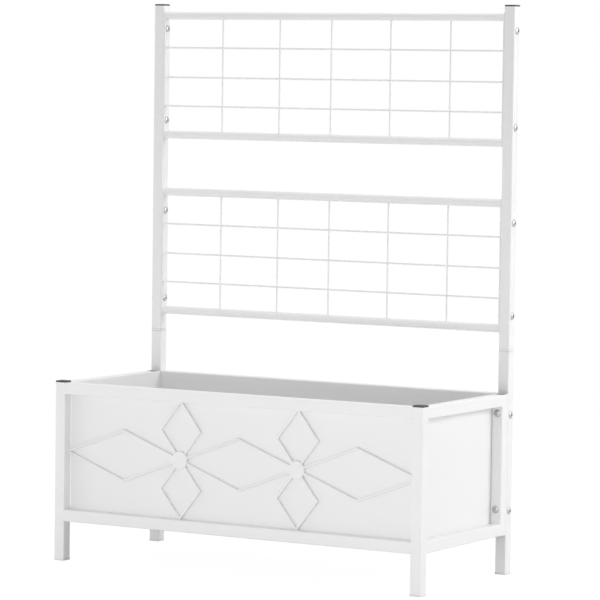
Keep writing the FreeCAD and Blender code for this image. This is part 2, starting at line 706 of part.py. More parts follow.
for item in doc.Objects:
    if "Invalid" in item.State or "Error" in item.State:
        raise RuntimeError(f"{item.Name} failed: {item.State}")
for part in parts:
    if part.Shape.isNull() or not part.Shape.isValid():
        raise RuntimeError(f"{part.Label} has no valid shape")

os.makedirs("parts", exist_ok=True)
for part in parts:
    part.Shape.exportStep(f"parts/{part.Label}.step")
    print(part.Label, len(part.Shape.Solids), round(part.Shape.Volume, 1))
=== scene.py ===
import math

import bmesh
import bpy
from bpy.props import FloatProperty, FloatVectorProperty, PointerProperty
from bpy.types import Operator, Panel, PropertyGroup
from mathutils import Matrix, Vector


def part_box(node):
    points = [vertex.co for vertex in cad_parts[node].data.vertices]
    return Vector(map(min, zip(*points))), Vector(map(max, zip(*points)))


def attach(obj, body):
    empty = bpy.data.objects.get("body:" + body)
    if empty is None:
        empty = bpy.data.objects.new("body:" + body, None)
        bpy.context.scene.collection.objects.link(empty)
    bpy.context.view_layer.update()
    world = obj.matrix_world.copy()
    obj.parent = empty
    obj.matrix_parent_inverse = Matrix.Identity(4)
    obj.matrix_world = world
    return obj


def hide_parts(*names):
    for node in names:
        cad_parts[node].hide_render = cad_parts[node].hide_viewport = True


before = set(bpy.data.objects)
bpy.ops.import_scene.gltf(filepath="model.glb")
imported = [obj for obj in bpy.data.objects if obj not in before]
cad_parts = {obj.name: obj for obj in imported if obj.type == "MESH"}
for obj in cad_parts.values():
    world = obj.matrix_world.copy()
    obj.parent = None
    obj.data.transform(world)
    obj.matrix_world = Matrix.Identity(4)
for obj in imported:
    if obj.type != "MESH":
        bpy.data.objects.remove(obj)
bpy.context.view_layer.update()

bl_info = {
    "name": "Planter with Trellis",
    "version": (1, 0, 0),
    "blender": (4, 5, 0),
    "location": "View3D > Sidebar > Planter",
    "description": "Powder coated planter box with a wire trellis, its fasteners and its studio",
    "category": "Object",
}

# Points this close are one point, or lie on one plane, in metres.
MERGE_DISTANCE = 1e-6
PLANE_DISTANCE = 1e-5
# Edges sharper than this stay sharp, in degrees.
SMOOTH_ANGLE = 35
HEAD_SMOOTH_ANGLE = 40
BEVEL_ANGLE = 50
BEVEL_SEGMENTS = 3
ROUND_SIDES = 40


# ---------------------------------------------------------------- reading the frame

def node_mesh(node):
    """A CAD node's surface where it stands, with its doubled points joined."""
    mesh = bmesh.new()
    mesh.from_mesh(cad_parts[node].data)
    mesh.transform(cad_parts[node].matrix_world)
    bmesh.ops.remove_doubles(mesh, verts=mesh.verts, dist=MERGE_DISTANCE)
    return mesh


def islands(node):
    """Lowest and highest corner of each separate solid in a CAD node, in metres."""
    mesh = node_mesh(node)
    found = []
    seen = set()
    for start in mesh.verts:
        if start in seen:
            continue
        seen.add(start)
        stack = [start]
        members = []
        while stack:
            vertex = stack.pop()
            members.append(vertex.co)
            for edge in vertex.link_edges:
                other = edge.other_vert(vertex)
                if other not in seen:
                    seen.add(other)
                    stack.append(other)
        low = Vector([min(co[i] for co in members) for i in range(3)])
        high = Vector([max(co[i] for co in members) for i in range(3)])
        found.append((low, high))
    mesh.free()
    return found


def middle(span):
    return (span[0] + span[1]) / 2


def thickness(node, axis):
    low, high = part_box(node)
    return high[axis] - low[axis]


WIRE = islands("upper_trellis_level_wires")[0]
DISCS = sorted(islands("ornament_discs"), key=lambda span: span[0][0])
HEAD_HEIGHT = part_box("panel_bolts")[1][0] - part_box("right_trellis_post_upper")[1][0]


# ---------------------------------------------------------------- what a user can change

class PlanterFinishes(PropertyGroup):
    """Colours and gloss."""
    coat_colour: FloatVectorProperty(
        name="Coat Colour", description="White powder coat on tubes, wires and sheets",
        subtype="COLOR", size=4, min=0, max=1, default=(0.88, 0.88, 0.88, 1))
    coat_roughness: FloatProperty(
        name="Coat Roughness", description="Gloss of the powder coat",
        subtype="FACTOR", min=0, max=1, default=0.42)
    zinc_colour: FloatVectorProperty(
        name="Zinc Colour", description="Plating of bolts and sleeve nuts",
        subtype="COLOR", size=4, min=0, max=1, default=(0.52, 0.52, 0.53, 1))
    cap_colour: FloatVectorProperty(
        name="Cap Colour", description="Dark plastic of the tube caps",
        subtype="COLOR", size=4, min=0, max=1, default=(0.05, 0.05, 0.052, 1))
    foot_colour: FloatVectorProperty(
        name="Foot Colour", description="White plastic of the foot plugs",
        subtype="COLOR", size=4, min=0, max=1, default=(0.82, 0.82, 0.82, 1))


class PlanterTubeSizes(PropertyGroup):
    """Square tube of the box."""
    corner_radius: FloatProperty(
        name="Corner Radius", description="Rounding of the posts' corners, filled at the welds",
        unit="LENGTH", min=0.0001, max=0.01, default=0.0025)
    seam_gap: FloatProperty(
        name="Seam Gap", description="Open seam over and under the collar in each trellis post",
        unit="LENGTH", min=0, max=0.002, default=0.0005)


class PlanterTrellisSizes(PropertyGroup):
    """Round bars of the two trellis panels."""
    wire_diameter: FloatProperty(
        name="Wire Diameter", description="Level and upright wires",
        unit="LENGTH", min=0.001, max=0.02, default=WIRE[1][2] - WIRE[0][2])
    rail_diameter: FloatProperty(
        name="Rail Diameter", description="Round tube at a panel's top and bottom",
        unit="LENGTH", min=0.005, max=0.05, default=thickness("upper_trellis_top_rail", 2))
    weld_size: FloatProperty(
        name="Weld Size", description="Diameter of the weld bead where wires cross or meet a rail",
        unit="LENGTH", min=0, max=0.02, default=0.0052)


class PlanterOrnamentSizes(PropertyGroup):
    """Rhombi and discs on the front wall."""
    bar_width: FloatProperty(
        name="Bar Width", description="Ornament bar, across",
        unit="LENGTH", min=0.001, max=0.02, default=0.005)
    bar_depth: FloatProperty(
        name="Bar Depth", description="Ornament bar, out of the wall",
        unit="LENGTH", min=0.001, max=0.02, default=thickness("centre_wide_rhombus", 1))
    bar_rounding: FloatProperty(
        name="Bar Rounding", description="Rounding of the bar's front edges",
        unit="LENGTH", min=0, max=0.005, default=0.0015)
    wide_half_width: FloatProperty(
        name="Wide Half Width", description="Wide rhombus, middle to side corner",
        unit="LENGTH", min=0.01, max=1, default=middle(DISCS[1])[0])
    wide_half_height: FloatProperty(
        name="Wide Half Height", description="Wide rhombus, middle to top corner",
        unit="LENGTH", min=0.01, max=1, default=0.054)
    small_half_width: FloatProperty(
        name="Small Half Width", description="Small rhombus, middle to side corner",
        unit="LENGTH", min=0.01, max=1, default=0.049)
    disc_bevel: FloatProperty(
        name="Disc Bevel", description="Rounding of the disc's rim",
        unit="LENGTH", min=0, max=0.005, default=0.001)


class PlanterFastenerSizes(PropertyGroup):
    """Domed heads of bolts and sleeve nuts."""
    head_height: FloatProperty(
        name="Head Height", description="Domed head, with its rim",
        unit="LENGTH", min=0.001, max=0.02, default=HEAD_HEIGHT)
    head_rim: FloatProperty(
        name="Head Rim", description="Straight rim under the head's dome",
        unit="LENGTH", min=0, max=0.005, default=0.0006)
    socket_across_corners: FloatProperty(
        name="Socket Across Corners", description="Hexagon socket in the head",
        unit="LENGTH", min=0.001, max=0.01, default=0.00577)
    socket_depth: FloatProperty(
        name="Socket Depth", description="Hexagon socket in the head",
        unit="LENGTH", min=0.0001, max=0.01, default=0.0022)


class PlanterStageSettings(PropertyGroup):
    """Light level and camera."""
    room_light: FloatProperty(
        name="Room Light", description="Even light from all round",
        min=0, max=5, default=0.55)
    front_light: FloatProperty(
        name="Front Light", description="Low soft lamp close in front",
        unit="POWER", min=0, max=2000, default=9.8)
    right_light: FloatProperty(
        name="Right Light", description="Soft lamp on the right, a little to the back",
        unit="POWER", min=0, max=2000, default=36)
    top_light: FloatProperty(
        name="Top Light", description="Large soft lamp overhead",
        unit="POWER", min=0, max=2000, default=30)
    left_light: FloatProperty(
        name="Left Light", description="Small soft lamp, low on the left",
        unit="POWER", min=0, max=2000, default=6)
    floor_shade: FloatProperty(
        name="Floor Shade", description="How much of the object's shadow the white floor shows",
        subtype="FACTOR", min=0, max=1, default=0.1)
    lens: FloatProperty(
        name="Lens", description="Focal length for a 36 mm sensor",
        unit="CAMERA", min=10, max=1000, default=205.25)


# ---------------------------------------------------------------- materials

def add_node(tree, kind, place, **values):
    node = tree.nodes.new(kind)
    node.location = place
    for name, value in values.items():
        setattr(node, name, value)
    return node


def wire_up(tree, *pairs):
    """Links each source to its target."""
    for source, target in pairs:
        tree.links.new(source, target)


def object_noise(tree, scale, detail, place):
    """Noise that stays with the piece."""
    coordinates = add_node(tree, "ShaderNodeTexCoord", (place[0] - 400, place[1]))
    noise = add_node(tree, "ShaderNodeTexNoise", place)
    noise.inputs["Scale"].default_value = scale
    noise.inputs["Detail"].default_value = detail
    wire_up(tree, (coordinates.outputs["Object"], noise.inputs["Vector"]))
    return noise.outputs["Fac"]


def remap(tree, source, low, high, place):
    """Spreads the middle of a noise, where most of its values lie, from low to high."""
    scale = add_node(tree, "ShaderNodeMapRange", place)
    for name, value in (("From Min", 0.3), ("From Max", 0.7), ("To Min", low), ("To Max", high)):
        scale.inputs[name].default_value = value
    wire_up(tree, (source, scale.inputs["Value"]))
    return scale.outputs["Result"]


def tint(tree, source, colour, spread, place):
    """Colour that drifts a little lighter and darker with the source."""
    ramp = add_node(tree, "ShaderNodeMix", place, data_type="RGBA")
    dark = [channel * (1 - spread) for channel in colour[:3]] + [1]
    light = [min(1, channel * (1 + spread)) for channel in colour[:3]] + [1]
    ramp.inputs[6].default_value = dark
    ramp.inputs[7].default_value = light
    wire_up(tree, (source, ramp.inputs["Factor"]))
    return ramp.outputs[2]


def drifting_finish(name, scale, detail, colour, spread, roughness):
    """A material whose colour and roughness drift with one noise, and the parts it is made of."""
    material = bpy.data.materials.new(name)
    material.use_nodes = True
    tree = material.node_tree
    shader = tree.nodes["Principled BSDF"]
    noise = object_noise(tree, scale, detail, (-700, 300))
    wire_up(tree, (tint(tree, noise, colour, spread, (-300, 300)), shader.inputs["Base Color"]),
            (remap(tree, noise, *roughness, (-300, 0)), shader.inputs["Roughness"]))
    return material, tree, shader, noise


def add_bump(tree, shader, source, strength, distance):
    bump = add_node(tree, "ShaderNodeBump", (-300, -300))
    bump.inputs["Strength"].default_value = strength
    bump.inputs["Distance"].default_value = distance
    wire_up(tree, (source, bump.inputs["Height"]),
            (bump.outputs["Normal"], shader.inputs["Normal"]))


def powder_coat(finishes):
    """White powder coat: fine orange peel, a slow drift in gloss and tone."""
    rough = finishes.coat_roughness
    material, tree, shader, _ = drifting_finish(
        "white_powder_coat", scale=9, detail=3, colour=finishes.coat_colour, spread=0.006,
        roughness=(rough - 0.03, rough + 0.03))
    peel = object_noise(tree, 650, 2, (-700, -300))
    add_bump(tree, shader, peel, strength=0.12, distance=0.0002)
    return material


def zinc_plate(finishes):
    """Zinc plating with faint cloudy patches."""
    material, _, shader, _ = drifting_finish(
        "zinc_plate", scale=260, detail=3, colour=finishes.zinc_colour, spread=0.08,
        roughness=(0.24, 0.38))
    shader.inputs["Metallic"].default_value = 1
    return material


def moulded_plastic(name, colour, rough):
    """Plain moulded plastic with a fine grain."""
    material, tree, shader, grain = drifting_finish(
        name, scale=1500, detail=2, colour=colour, spread=0.05,
        roughness=(rough - 0.05, rough + 0.05))
    add_bump(tree, shader, grain, strength=0.2, distance=0.0002)
    return material


def finish_for(context, name):
    """The named material, made the first time it is asked for."""
    if name in bpy.data.materials:
        return bpy.data.materials[name]
    finishes = context.scene.planter_finishes
    if name == "white_powder_coat":
        return powder_coat(finishes)
    if name == "zinc_plate":
        return zinc_plate(finishes)
    if name == "dark_cap_plastic":
        return moulded_plastic(name, finishes.cap_colour, 0.5)
    return moulded_plastic("white_foot_plastic", finishes.foot_colour, 0.45)


# ---------------------------------------------------------------- pieces

def add_piece(context, name, mesh, material, nodes):
    """A finished piece at the origin that stands for its CAD nodes."""
    piece = bpy.data.objects.new(name, mesh)
    context.scene.collection.objects.link(piece)
    mesh.materials.clear()
    mesh.materials.append(material)
    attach(piece, "root")
    if nodes:
        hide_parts(*nodes)
    return piece


def shaded_mesh(name, source, smooth_angle=SMOOTH_ANGLE):
    """Plain mesh data of a bmesh, shaded round except at sharp edges. Frees the bmesh."""
    data = bpy.data.meshes.new(name)
    source.to_mesh(data)
    source.free()
    data.shade_smooth()
    data.set_sharp_from_angle(angle=math.radians(smooth_angle))
    return data


def smooth_copy(context, node, material):
    """A CAD node's shape with its corners shaded round."""
    name = node + "_coated"
    return add_piece(context, name, shaded_mesh(name, node_mesh(node)), material, [node])


# ---------------------------------------------------------------- geometry nodes

def new_tree(name, sizes):
    """A geometry tree with named size inputs."""
    tree = bpy.data.node_groups.new(name, "GeometryNodeTree")
    tree.interface.new_socket("Geometry", in_out="INPUT", socket_type="NodeSocketGeometry")
    for label, kind, value in sizes:
        socket = tree.interface.new_socket(label, in_out="INPUT", socket_type=kind)
        if value is not None:
            socket.default_value = value
    tree.interface.new_socket("Geometry", in_out="OUTPUT", socket_type="NodeSocketGeometry")
    start = add_node(tree, "NodeGroupInput", (-1000, 0))
    end = add_node(tree, "NodeGroupOutput", (900, 0))
    return tree, start, end


def calculate(tree, operation, first, second, place):
    node = add_node(tree, "ShaderNodeMath", place, operation=operation)
    for socket, value in zip(node.inputs, (first, second)):
        if isinstance(value, (int, float)):
            socket.default_value = value
        elif value is not None:
            tree.links.new(value, socket)
    return node.outputs[0]


def close_tree(tree, geometry, start, end):
    """Every tree ends in real geometry with its material."""
    real = add_node(tree, "GeometryNodeRealizeInstances", (500, 0))
    paint = add_node(tree, "GeometryNodeSetMaterial", (700, 0))
    wire_up(tree, (geometry, real.inputs[0]), (real.outputs[0], paint.inputs["Geometry"]),
            (start.outputs["Material"], paint.inputs["Material"]),
            (paint.outputs["Geometry"], end.inputs["Geometry"]))


def facing_rotation(tree, place, axis="Z", pivot="AUTO"):
    """Turns a copy's own axis to the direction stored on its point."""
    facing = add_node(tree, "GeometryNodeInputNamedAttribute", place, data_type="FLOAT_VECTOR")
    facing.inputs["Name"].default_value = "facing"
    turn = add_node(tree, "FunctionNodeAlignRotationToVector", (place[0] + 200, place[1]),
                    axis=axis, pivot_axis=pivot)
    wire_up(tree, (facing.outputs[0], turn.inputs["Vector"]))
    return turn.outputs["Rotation"]


def instance_on(tree, points, shape, rotation, place):
    copies = add_node(tree, "GeometryNodeInstanceOnPoints", place)
    wire_up(tree, (points, copies.inputs["Points"]), (shape, copies.inputs["Instance"]),
            (rotation, copies.inputs["Rotation"]))
    return copies.outputs["Instances"]


def join(tree, parts, place):
    node = add_node(tree, "GeometryNodeJoinGeometry", place)
    for part in reversed(parts):
        tree.links.new(part, node.inputs[0])
    return node.outputs[0]


def take_away(tree, body, tool, place):
    node = add_node(tree, "GeometryNodeMeshBoolean", place, operation="DIFFERENCE", solver="EXACT")
    wire_up(tree, (body, node.inputs["Mesh 1"]), (tool, node.inputs["Mesh 2"]))
    return node.outputs["Mesh"]


def bar_tree():
    """Round bars centred on points, along each point's facing."""
    tree, start, end = new_tree("planter_round_bars", [
        ("Diameter", "NodeSocketFloat", 0.004), ("Length", "NodeSocketFloat", 1.0),
        ("Material", "NodeSocketMaterial", None)])
    radius = calculate(tree, "DIVIDE", start.outputs["Diameter"], 2, (-700, -100))
    bar = add_node(tree, "GeometryNodeMeshCylinder", (-450, -100))
    bar.inputs["Vertices"].default_value = ROUND_SIDES
    wire_up(tree, (radius, bar.inputs["Radius"]), (start.outputs["Length"], bar.inputs["Depth"]))
    copies = instance_on(tree, start.outputs["Geometry"], bar.outputs["Mesh"],
                         facing_rotation(tree, (-450, -450)), (0, 0))
    close_tree(tree, copies, start, end)
    return tree


def weld_tree():
    """A small bead on every point, flattened along the point's facing."""
    tree, start, end = new_tree("planter_weld_beads", [
        ("Diameter", "NodeSocketFloat", 0.005), ("Flatness", "NodeSocketFloat", 0.7),
        ("Material", "NodeSocketMaterial", None)])
    radius = calculate(tree, "DIVIDE", start.outputs["Diameter"], 2, (-700, -100))
    ball = add_node(tree, "GeometryNodeMeshUVSphere", (-450, -100))
    ball.inputs["Segments"].default_value = 16
    ball.inputs["Rings"].default_value = 8
    squash = add_node(tree, "ShaderNodeCombineXYZ", (-450, -300))
    squash.inputs["X"].default_value = 1
    squash.inputs["Y"].default_value = 1
    shape = add_node(tree, "GeometryNodeTransform", (-200, -100))
    wire_up(tree, (radius, ball.inputs["Radius"]), (start.outputs["Flatness"], squash.inputs["Z"]),
            (ball.outputs["Mesh"], shape.inputs["Geometry"]),
            (squash.outputs[0], shape.inputs["Scale"]))
    copies = instance_on(tree, start.outputs["Geometry"], shape.outputs[0],
                         facing_rotation(tree, (-450, -500)), (100, 0))
    close_tree(tree, copies, start, end)
    return tree


def dome(tree, radius, rim, height, place):
    """A round plate whose top swells to a dome."""
    plate = add_node(tree, "GeometryNodeMeshCylinder", place)
    plate.inputs["Vertices"].default_value = ROUND_SIDES
    plate.inputs["Fill Segments"].default_value = 8
    x, y = place
    position = add_node(tree, "GeometryNodeInputPosition", (x, y - 400))
    flat = add_node(tree, "ShaderNodeVectorMath", (x + 200, y - 400), operation="MULTIPLY")
    flat.inputs[1].default_value = (1, 1, 0)
    reach = add_node(tree, "ShaderNodeVectorMath", (x + 400, y - 400), operation="LENGTH")
    wire_up(tree, (radius, plate.inputs["Radius"]), (rim, plate.inputs["Depth"]),
            (position.outputs[0], flat.inputs[0]), (flat.outputs[0], reach.inputs[0]))
    share = calculate(tree, "DIVIDE", reach.outputs["Value"], radius, (x + 600, y - 400))
    square = calculate(tree, "MULTIPLY", share, share, (x + 800, y - 400))
    rest = calculate(tree, "SUBTRACT", 1, square, (x + 1000, y - 400))
    safe = calculate(tree, "MAXIMUM", rest, 0, (x + 1100, y - 400))
    curve = calculate(tree, "SQRT", safe, None, (x + 1200, y - 400))
    lift = calculate(tree, "MULTIPLY", curve, height, (x + 1400, y - 400))
    offset = add_node(tree, "ShaderNodeCombineXYZ", (x + 1600, y - 400))
    half = calculate(tree, "DIVIDE", rim, 2, (x + 1200, y - 600))
    seat = add_node(tree, "ShaderNodeCombineXYZ", (x + 1400, y - 600))
    swell = add_node(tree, "GeometryNodeSetPosition", (x + 1800, y))
    raise_up = add_node(tree, "GeometryNodeTransform", (x + 2000, y))
    wire_up(tree, (lift, offset.inputs["Z"]), (half, seat.inputs["Z"]),
            (plate.outputs["Mesh"], swell.inputs["Geometry"]),
            (plate.outputs["Top"], swell.inputs["Selection"]),
            (offset.outputs[0], swell.inputs["Offset"]),
            (swell.outputs[0], raise_up.inputs["Geometry"]),
            (seat.outputs[0], raise_up.inputs["Translation"]))
    return raise_up.outputs[0]


def bolt_head_tree():
    """Domed heads with a hexagon socket on points."""
    tree, start, end = new_tree("planter_bolt_heads", [
        ("Diameter", "NodeSocketFloat", 0.016), ("Rim", "NodeSocketFloat", 0.0006),
        ("Dome Height", "NodeSocketFloat", 0.0034),
        ("Socket Across Corners", "NodeSocketFloat", 0.00577),
        ("Socket Depth", "NodeSocketFloat", 0.0022), ("Material", "NodeSocketMaterial", None)])
    sizes = start.outputs
    radius = calculate(tree, "DIVIDE", sizes["Diameter"], 2, (-800, -300))
    head = dome(tree, radius, sizes["Rim"], sizes["Dome Height"], (-600, -300))
    cutter = add_node(tree, "GeometryNodeMeshCylinder", (-600, 300))
    cutter.inputs["Vertices"].default_value = 6  # a hexagon
    lift = add_node(tree, "ShaderNodeCombineXYZ", (-400, 500))
    seat = add_node(tree, "GeometryNodeTransform", (-200, 300))
    reach = calculate(tree, "DIVIDE", sizes["Socket Across Corners"], 2, (-800, 300))
    depth = calculate(tree, "MULTIPLY", sizes["Socket Depth"], 2, (-800, 500))
    crown = calculate(tree, "ADD", sizes["Rim"], sizes["Dome Height"], (-800, 700))
    wire_up(tree, (reach, cutter.inputs["Radius"]), (depth, cutter.inputs["Depth"]),
            (crown, lift.inputs["Z"]), (cutter.outputs["Mesh"], seat.inputs["Geometry"]),
            (lift.outputs[0], seat.inputs["Translation"]))
    socketed = take_away(tree, head, seat.outputs[0], (0, 200))
    copies = instance_on(tree, sizes["Geometry"], socketed,
                         facing_rotation(tree, (-600, -1000)), (300, 0))
    close_tree(tree, copies, start, end)
    return tree


def corner_fill_tree():
    """Upright strips on points that square up a post's rounded corner."""
    tree, start, end = new_tree("planter_corner_fills", [
        ("Radius", "NodeSocketFloat", 0.0025), ("Length", "NodeSocketFloat", 0.02),
        ("Material", "NodeSocketMaterial", None)])
    radius, length = start.outputs["Radius"], start.outputs["Length"]
    size = add_node(tree, "ShaderNodeCombineXYZ", (-800, 200))
    block = add_node(tree, "GeometryNodeMeshCube", (-600, 200))
    half = calculate(tree, "DIVIDE", radius, 2, (-800, 0))
    shift = add_node(tree, "ShaderNodeCombineXYZ", (-600, 0))
    seat = add_node(tree, "GeometryNodeTransform", (-400, 200))
    round_post = add_node(tree, "GeometryNodeMeshCylinder", (-600, -200))
    round_post.inputs["Vertices"].default_value = 32
    corner = add_node(tree, "ShaderNodeCombineXYZ", (-600, -400))
    round_seat = add_node(tree, "GeometryNodeTransform", (-400, -200))
    through = calculate(tree, "MULTIPLY", length, 2, (-800, -200))
    wire_up(tree, (radius, size.inputs["X"]), (radius, size.inputs["Y"]),
            (length, size.inputs["Z"]), (size.outputs[0], block.inputs["Size"]),
            (half, shift.inputs["X"]), (half, shift.inputs["Y"]),
            (block.outputs["Mesh"], seat.inputs["Geometry"]),
            (shift.outputs[0], seat.inputs["Translation"]),
            (radius, round_post.inputs["Radius"]), (through, round_post.inputs["Depth"]),
            (radius, corner.inputs["X"]), (radius, corner.inputs["Y"]),
            (round_post.outputs["Mesh"], round_seat.inputs["Geometry"]),
            (corner.outputs[0], round_seat.inputs["Translation"]))
    fill = take_away(tree, seat.outputs[0], round_seat.outputs[0], (-200, 0))
    facing = facing_rotation(tree, (-600, -700), "X", "Z")
    copies = instance_on(tree, start.outputs["Geometry"], fill, facing, (200, 0))
    close_tree(tree, copies, start, end)
    return tree


def kite(tree, half_width, half_height, place):
    outline = add_node(tree, "GeometryNodeCurvePrimitiveQuadrilateral", place, mode="KITE")
    width = calculate(tree, "MULTIPLY", half_width, 2, (place[0] - 200, place[1]))
    wire_up(tree, (width, outline.inputs["Width"]), (half_height, outline.inputs["Bottom Height"]),
            (half_height, outline.inputs["Top Height"]))
    return outline.outputs[0]


def rhombus_tree():
    """Rhombus frames of square bar on points, standing out along each point's facing."""
    tree, start, end = new_tree("planter_rhombus_bars", [
        ("Half Width", "NodeSocketFloat", 0.14), ("Half Height", "NodeSocketFloat", 0.05),
        ("Bar Width", "NodeSocketFloat", 0.005), ("Bar Depth", "NodeSocketFloat", 0.006),
        ("Material", "NodeSocketMaterial", None)])
    wide, tall = start.outputs["Half Width"], start.outputs["Half Height"]
    wide_square = calculate(tree, "MULTIPLY", wide, wide, (-800, -200))
    tall_square = calculate(tree, "MULTIPLY", tall, tall, (-800, -350))
    slope = calculate(tree, "SQRT", calculate(tree, "ADD", wide_square, tall_square, (-650, -250)),
                      None, (-500, -250))
    half_bar = calculate(tree, "DIVIDE", start.outputs["Bar Width"], 2, (-800, -500))
    reach = calculate(tree, "MULTIPLY", half_bar, slope, (-350, -300))
    extra_x = calculate(tree, "DIVIDE", reach, tall, (-200, -200))
    extra_y = calculate(tree, "DIVIDE", reach, wide, (-200, -400))
    outer = kite(tree, calculate(tree, "ADD", wide, extra_x, (-50, 300)),
                 calculate(tree, "ADD", tall, extra_y, (-50, 200)), (200, 300))
    inner = kite(tree, calculate(tree, "SUBTRACT", wide, extra_x, (-50, 0)),
                 calculate(tree, "SUBTRACT", tall, extra_y, (-50, -100)), (200, 0))
    face = add_node(tree, "GeometryNodeFillCurve", (500, 200))
    grow = add_node(tree, "GeometryNodeExtrudeMesh", (700, 200))
    grow.inputs["Individual"].default_value = False
    flip = add_node(tree, "GeometryNodeFlipFaces", (700, 400))
    merge = add_node(tree, "GeometryNodeMergeByDistance", (1100, 200))
    merge.inputs["Distance"].default_value = MERGE_DISTANCE
    wire_up(tree, (join(tree, [outer, inner], (400, 200)), face.inputs[0]),
            (face.outputs[0], grow.inputs["Mesh"]),
            (start.outputs["Bar Depth"], grow.inputs["Offset Scale"]),
            (face.outputs[0], flip.inputs["Mesh"]))
    closed = join(tree, [grow.outputs["Mesh"], flip.outputs[0]], (900, 200))
    wire_up(tree, (closed, merge.inputs["Geometry"]))
    copies = instance_on(tree, start.outputs["Geometry"], merge.outputs[0],
                         facing_rotation(tree, (-600, -800)), (1300, 0))
    close_tree(tree, copies, start, end)
    return tree


TREES = {
    "planter_round_bars": bar_tree,
    "planter_weld_beads": weld_tree,
    "planter_bolt_heads": bolt_head_tree,
    "planter_corner_fills": corner_fill_tree,
    "planter_rhombus_bars": rhombus_tree,
}


def grow_mesh(context, tree_name, points, facing, sizes, material):
    """Runs a tree over points and returns its plain mesh."""
    tree = bpy.data.node_groups.get(tree_name) or TREES[tree_name]()
    base = bpy.data.meshes.new(tree_name + "_points")
    base.from_pydata([tuple(point) for point in points], [], [])
    directions = base.attributes.new("facing", "FLOAT_VECTOR", "POINT")
    for item, direction in zip(directions.data, facing):
        item.vector = direction
    carrier = bpy.data.objects.new(tree_name + "_carrier", base)
    context.scene.collection.objects.link(carrier)
    modifier = carrier.modifiers.new("Grow", "NODES")
    modifier.node_group = tree
    values = dict(sizes, Material=material)
    for item in tree.interface.items_tree:
        if item.item_type == "SOCKET" and item.in_out == "INPUT" and item.name in values:
            modifier[item.identifier] = values[item.name]
    evaluated = carrier.evaluated_get(context.evaluated_depsgraph_get())
    mesh = bpy.data.meshes.new_from_object(evaluated)
    carrier.modifiers.clear()
    bpy.data.objects.remove(carrier)
    return mesh


def merge_meshes(name, meshes, smooth_angle=SMOOTH_ANGLE):
    """One mesh of several, shaded round except at sharp edges."""
    whole = bmesh.new()
    for mesh in meshes:
        whole.from_mesh(mesh)
    return shaded_mesh(name, whole, smooth_angle)


def round_off(context, mesh, width):
    """Bevels a mesh's sharp edges and returns it as a plain mesh."""
    holder = bpy.data.objects.new("holder", mesh)
    context.scene.collection.objects.link(holder)
    bevel = holder.modifiers.new("Round", "BEVEL")
    bevel.width = width
    bevel.segments = BEVEL_SEGMENTS
    bevel.limit_method = "ANGLE"
    bevel.angle_limit = math.radians(BEVEL_ANGLE)
    evaluated = holder.evaluated_get(context.evaluated_depsgraph_get())
    done = bpy.data.meshes.new_from_object(evaluated)
    bpy.data.objects.remove(holder)
    return done


# ---------------------------------------------------------------- operators

COATED_NODES = [
    "front_left_post", "front_right_post", "front_top_rail", "front_bottom_rail",
    "left_side_top_rail", "left_side_bottom_rail", "right_side_top_rail", "right_side_bottom_rail",
    "left_rear_upright", "right_rear_upright", "back_top_rail", "back_bottom_rail",
    "left_trellis_post_lower", "right_trellis_post_lower", "left_trellis_post_upper",
    "right_trellis_post_upper", "base_cross_bars", "back_side_strips",
    "upper_trellis_side_strips", "lower_trellis_side_strips",
]
SHEET_NODES = ["front_panel", "back_panel", "left_side_panel", "right_side_panel", "base_pan"]
# A weld bead's share of the weld size, and its height as a share of its width.
CROSSING_BEAD = (0.9, 0.6)
RAIL_BEAD = (1.15, 0.45)


class PLANTER_OT_tubes(Operator):
    """Coat the posts, rails, joiners, cross bars and flat bars"""
    bl_idname = "planter.tubes"
    bl_label = "Tubes and Flat Bars"

    def execute(self, context):
        coat = finish_for(context, "white_powder_coat")
        for node in COATED_NODES:
            smooth_copy(context, node, coat)
        joiners = smooth_copy(context, "post_joiners", coat)
        self.open_seams(joiners, context.scene.planter_tubes.seam_gap)
        return {"FINISHED"}

    def open_seams(self, joiners, gap):
        """Draws each collar back from the post sections above and below it."""
        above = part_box("left_trellis_post_upper")[0][2]
        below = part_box("left_trellis_post_lower")[1][2]
        for vertex in joiners.data.vertices:
            if abs(vertex.co.z - above) < PLANE_DISTANCE:
                vertex.co.z -= gap
            elif abs(vertex.co.z - below) < PLANE_DISTANCE:
                vertex.co.z += gap


class PLANTER_OT_sheets(Operator):
    """Coat the sheet walls and the base pan"""
    bl_idname = "planter.sheets"
    bl_label = "Walls and Base Pan"

    def execute(self, context):
        coat = finish_for(context, "white_powder_coat")
        for node in SHEET_NODES:
            smooth_copy(context, node, coat)
        return {"FINISHED"}


class PLANTER_OT_welds(Operator):
    """Fill the posts' rounded corners where the rails are welded on flush"""
    bl_idname = "planter.welds"
    bl_label = "Welded Corners"

    def execute(self, context):
        coat = finish_for(context, "white_powder_coat")
        radius = context.scene.planter_tubes.corner_radius
        spots = []
        facing = []
        for side, sign in (("left", -1), ("right", 1)):
            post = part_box(f"front_{side}_post")
            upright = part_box(f"{side}_rear_upright")
            inner, outer = sorted((post[0][0], post[1][0]), key=abs)
            for level in ("top", "bottom"):
                height = middle(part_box(f"front_{level}_rail"))[2]
                # A fill's own corner lies in its own +X, +Y quarter, turned into the tube.
                spots += [(inner, post[0][1], height), (outer, post[1][1], height),
                          (outer, upright[0][1], height)]
                if sign > 0:
                    facing += [(1, 0, 0), (-1, 0, 0), (0, 1, 0)]
                else:
                    facing += [(0, 1, 0), (0, -1, 0), (1, 0, 0)]
        length = thickness("front_top_rail", 2) - 2 * radius
        fills = grow_mesh(context, "planter_corner_fills", spots, facing,
                          {"Radius": radius, "Length": length}, coat)
        mesh = merge_meshes("corner_welds", [fills])
        add_piece(context, "corner_welds", mesh, coat, [])
        return {"FINISHED"}


